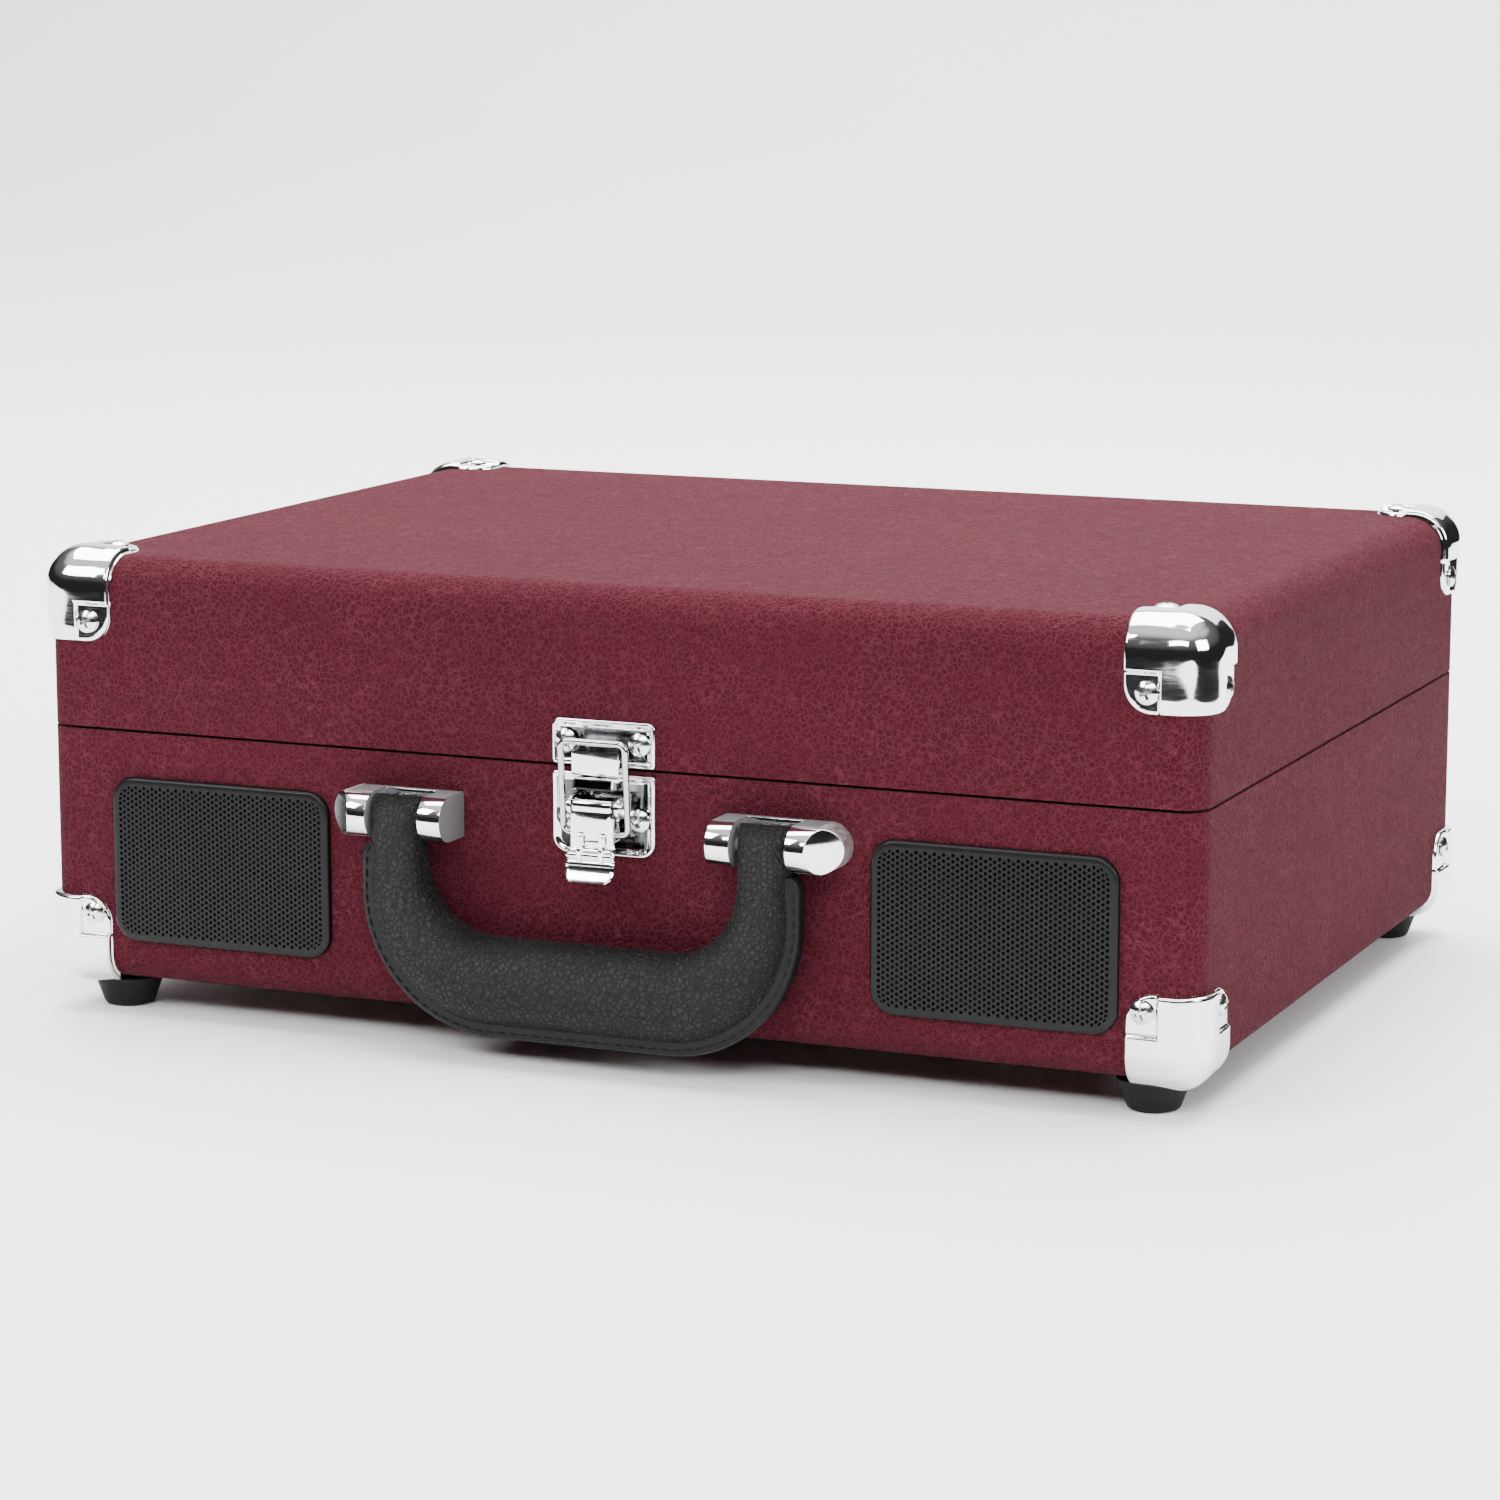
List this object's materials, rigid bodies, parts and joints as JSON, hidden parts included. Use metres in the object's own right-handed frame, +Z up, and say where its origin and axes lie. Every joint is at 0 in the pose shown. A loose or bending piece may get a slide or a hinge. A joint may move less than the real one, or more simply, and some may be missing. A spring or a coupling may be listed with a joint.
{
  "type": "suitcase record player",
  "caption": "Portable belt-drive record player in a hinged leatherette suitcase with a carry handle, draw latch, front speakers and metal corners.",
  "frame": {"origin": "middle of the whole object's footprint, on the surface that the feet stand on", "axes": "+Z up, front (latch, handle and grilles) towards -Y, +X to the right seen from the front"},
  "size_m": [0.3612, 0.2952, 0.1386],
  "materials": {
    "leatherette": "embossed burgundy leatherette, satin",
    "fibreboard": "raw fibreboard",
    "hardboard": "dark hardboard, smooth",
    "lining": "flocked paper lining",
    "chrome": "polished nickel-chrome plate",
    "bright_steel": "bright zinc plate",
    "dark_steel": "oiled steel",
    "zinc_steel": "zinc plate",
    "black_rubber": "moulded, matte",
    "belt_rubber": "smooth",
    "handle_leather": "black grained, stitched",
    "grille_paint": "black powder coat on perforated steel",
    "speaker_paper": "black paper cone",
    "deck_plastic": "fine spark texture",
    "platter_plastic": "satin",
    "felt": "short pile felt",
    "brass": "turned",
    "arm_plastic": "silver moulded",
    "stylus_plastic": "red moulded",
    "knob_plastic": "silver moulded, fluted",
    "socket_plastic": "moulded",
    "circuit_board": "green laminate",
    "adapter_plastic": "moulded"
  },
  "bodies": {
    "case": {"amplifier_board": "circuit_board", "arm_rest": "deck_plastic", "audio_jacks": "socket_plastic", "base_box": "fibreboard", "base_covering": "leatherette", "bearing_sleeve": "brass", "bottom_panel": "hardboard", "case_screws_base": "bright_steel", "corner_base_front_left": "chrome", "corner_base_front_right": "chrome", "corner_base_rear_left": "chrome", "corner_base_rear_right": "chrome", "dc_jack": "socket_plastic", "deck_panel": "deck_plastic", "drive_belt": "belt_rubber", "grille_left": "grille_paint", "grille_right": "grille_paint", "handle_bracket_left": "chrome", "handle_bracket_right": "chrome", "handle_pins": "dark_steel", "hinge_leaves_base": "bright_steel", "hinge_pins": "dark_steel", "latch_base_plate": "chrome", "latch_lever_pin": "chrome", "motor": "zinc_steel", "rear_jack_plate": "socket_plastic", "rubber_feet": "black_rubber", "speaker_cones": "speaker_paper", "speaker_frames": "zinc_steel", "tonearm_base": "deck_plastic", "wood_screws": "dark_steel"},
    "lid": {"lid_box": "fibreboard", "lid_covering": "leatherette", "lid_lining": "lining", "case_screws_lid": "bright_steel", "latch_strike_plate": "chrome", "hinge_leaves_lid": "bright_steel", "corner_lid_front_left": "chrome", "corner_lid_front_right": "chrome", "corner_lid_rear_left": "chrome", "corner_lid_rear_right": "chrome"},
    "handle": {"handle_grip": "handle_leather"},
    "latch_lever": {"latch_lever": "chrome", "latch_finger_tab": "chrome"},
    "latch_bail": {"latch_bail": "chrome"},
    "platter": {"platter": "platter_plastic", "slipmat": "felt", "spindle": "bright_steel"},
    "motor_pulley": {"motor_pulley": "brass"},
    "tonearm_swivel": {"tonearm_turret": "arm_plastic"},
    "tonearm": {"tonearm_tube": "arm_plastic", "stylus_cartridge": "stylus_plastic"},
    "arm_clip": {"arm_clip": "arm_plastic"},
    "cue_lever": {"cue_lever": "arm_plastic"},
    "cue_platform": {"cue_platform": "dark_steel"},
    "volume_knob": {"volume_knob": "knob_plastic"},
    "function_knob": {"function_knob": "knob_plastic"},
    "speed_switch": {"speed_switch": "socket_plastic"},
    "autostop_switch": {"autostop_switch": "socket_plastic"},
    "adapter_45": {"adapter_45": "adapter_plastic"}
  },
  "joints": [
    {"name": "lid_hinge", "type": "hinge", "parent": "case", "child": "lid", "pos_m": [0, 0.1416, 0.085], "axis": [-1, 0, 0], "range_deg": [0, 95]},
    {"name": "handle_hinge", "type": "hinge", "parent": "case", "child": "handle", "pos_m": [0, -0.1389, 0.0685], "axis": [-1, 0, 0], "range_deg": [0, 135]},
    {"name": "latch_lever_hinge", "type": "hinge", "parent": "case", "child": "latch_lever", "pos_m": [0.0036, -0.1356, 0.075], "axis": [-1, 0, 0], "range_deg": [0, 110]},
    {"name": "latch_bail_hinge", "type": "hinge", "parent": "latch_lever", "child": "latch_bail", "pos_m": [0.0036, -0.1359, 0.0675], "axis": [-1, 0, 0], "range_deg": [-110, 0]},
    {"name": "platter_spin", "type": "hinge", "parent": "case", "child": "platter", "pos_m": [-0.045, 0.0123, 0.095], "axis": [0, 0, 1], "continuous": true},
    {"name": "motor_spin", "type": "hinge", "parent": "case", "child": "motor_pulley", "pos_m": [-0.103, 0.0703, 0.085], "axis": [0, 0, 1], "continuous": true},
    {"name": "tonearm_swing", "type": "hinge", "parent": "case", "child": "tonearm_swivel", "pos_m": [0.112, 0.0896, 0.107], "axis": [0, 0, -1], "range_deg": [0, 50]},
    {"name": "tonearm_lift", "type": "hinge", "parent": "tonearm_swivel", "child": "tonearm", "pos_m": [0.112, 0.0896, 0.107], "axis": [-1, 0, 0], "range_deg": [0, 3.5]},
    {"name": "cue_lever_hinge", "type": "hinge", "parent": "case", "child": "cue_lever", "pos_m": [0.1352, 0.0746, 0.0875], "axis": [-1, 0, 0], "range_deg": [0, 55]},
    {"name": "cue_platform_slide", "type": "slide", "parent": "case", "child": "cue_platform", "axis": [0, 0, 1], "range_m": [0, 0.00125]},
    {"name": "arm_clip_hinge", "type": "hinge", "parent": "case", "child": "arm_clip", "pos_m": [0.122, -0.0154, 0.113], "axis": [0, -1, 0], "range_deg": [0, 90]},
    {"name": "volume_turn", "type": "hinge", "parent": "case", "child": "volume_knob", "pos_m": [0.146, -0.0574, 0.086], "axis": [0, 0, -1], "range_deg": [0, 280]},
    {"name": "function_turn", "type": "hinge", "parent": "case", "child": "function_knob", "pos_m": [0.146, -0.0904, 0.086], "axis": [0, 0, -1], "range_deg": [0, 60]},
    {"name": "speed_slide", "type": "slide", "parent": "case", "child": "speed_switch", "axis": [0, 1, 0], "range_m": [0, 0.008]},
    {"name": "autostop_slide", "type": "slide", "parent": "case", "child": "autostop_switch", "axis": [0, 1, 0], "range_m": [0, 0.004]},
    {"name": "adapter_lift_out", "type": "slide", "parent": "case", "child": "adapter_45", "axis": [0, 0, 1], "range_m": [0, 0.015]}
  ],
  "couplings": [
    {"joint": "latch_bail_hinge", "follows": "latch_lever_hinge", "ratio": -1},
    {"joint": "motor_spin", "follows": "platter_spin", "ratio": 12},
    {"joint": "tonearm_lift", "follows": "cue_lever_hinge", "ratio": 0.06363},
    {"joint": "cue_platform_slide", "follows": "cue_lever_hinge", "m_per_rad": 0.0012501}
  ]
}
